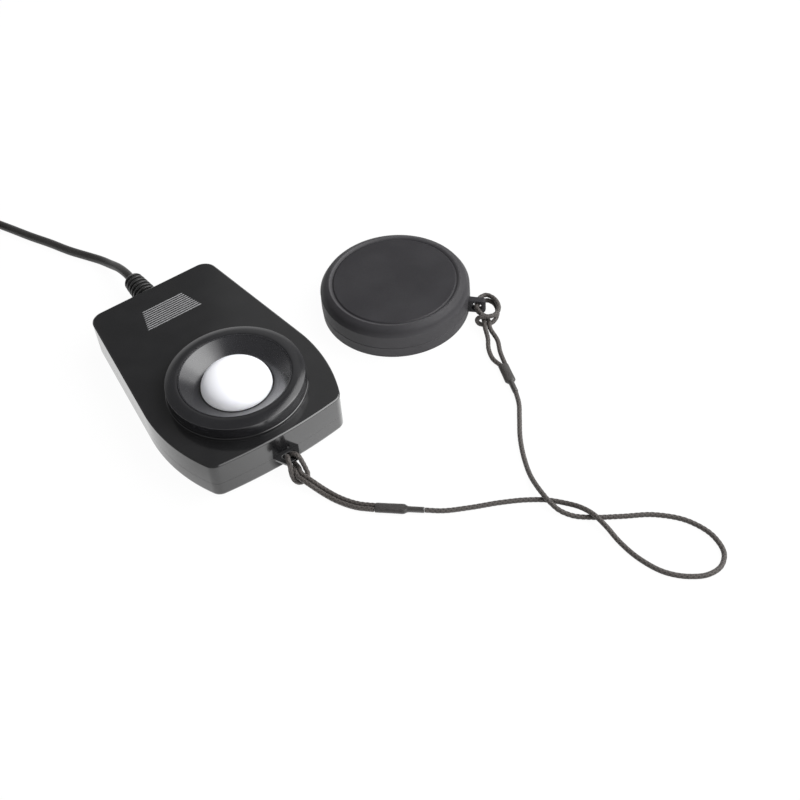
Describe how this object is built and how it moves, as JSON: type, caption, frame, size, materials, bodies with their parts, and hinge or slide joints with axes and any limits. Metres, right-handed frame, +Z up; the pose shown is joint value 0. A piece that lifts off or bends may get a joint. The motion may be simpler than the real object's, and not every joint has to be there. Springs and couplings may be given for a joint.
{
  "type": "lux meter sensor head",
  "caption": "Flat remote light sensor with an opal dome in a conical dish, thumb grip, tethered dust cap beside it and a coiled lead with jack plug.",
  "frame": {"origin": "on the flat underside, at the middle of the housing", "axes": "+Z up out of the dome, +Y towards the end where the lead leaves, -Y towards the tether tab, +X to the right seen from the tether end"},
  "size_m": [0.1812, 0.3261, 0.0226],
  "materials": {
    "housing_black": "satin",
    "collar_black": "semi-gloss",
    "grip_grey": "matte",
    "opal_white": "opal, smooth",
    "seal_rubber": "matte",
    "filter_glass": "polished",
    "holder_black": "matte",
    "diode_metal": "plated",
    "board_green": "satin",
    "screw_steel": "plain",
    "wire_red": "matte",
    "lead_black": "satin",
    "tie_black": "matte",
    "plug_black": "satin",
    "plug_insulator": "gloss",
    "plug_metal": "polished",
    "cord_dark": "braided",
    "sleeve_dark": "satin",
    "cap_charcoal": "fine satin"
  },
  "bodies": {
    "housing": {"bottom_shell": "housing_black", "top_shell": "housing_black", "sensor_collar": "collar_black", "sensor_dish": "collar_black", "thumb_grip": "grip_grey", "diffuser_dome": "opal_white", "dome_seal": "seal_rubber", "colour_filter": "filter_glass", "filter_holder": "holder_black", "photodiode": "diode_metal", "sensor_board": "board_green", "case_screws": "screw_steel", "board_screws": "screw_steel", "inner_wires": "wire_red", "strain_relief": "lead_black", "lead": "lead_black", "lead_coil": "lead_black", "lead_tail": "lead_black", "coil_tie": "tie_black", "plug_grip": "plug_black", "plug_insulators": "plug_insulator", "plug_sleeve": "plug_metal", "plug_ring": "plug_metal", "plug_tip": "plug_metal", "housing_loop": "cord_dark", "tether_run": "cord_dark", "housing_sleeve": "sleeve_dark"},
    "tether_end": {"cap_sleeve": "sleeve_dark", "cap_loop": "cord_dark"},
    "cap": {"sensor_cap": "cap_charcoal"}
  },
  "joints": [
    {"name": "cap_lift", "type": "slide", "parent": "housing", "child": "tether_end", "axis": [0, 0, 1], "range_m": [0, 0.03], "deforming": ["tether_run"]},
    {"name": "cap_turn", "type": "hinge", "parent": "tether_end", "child": "cap", "pos_m": [0.0904, -0.02696, 0.0038], "axis": [0, 0, 1], "range_deg": [-45, 35], "deforming": ["cap_loop"]}
  ]
}
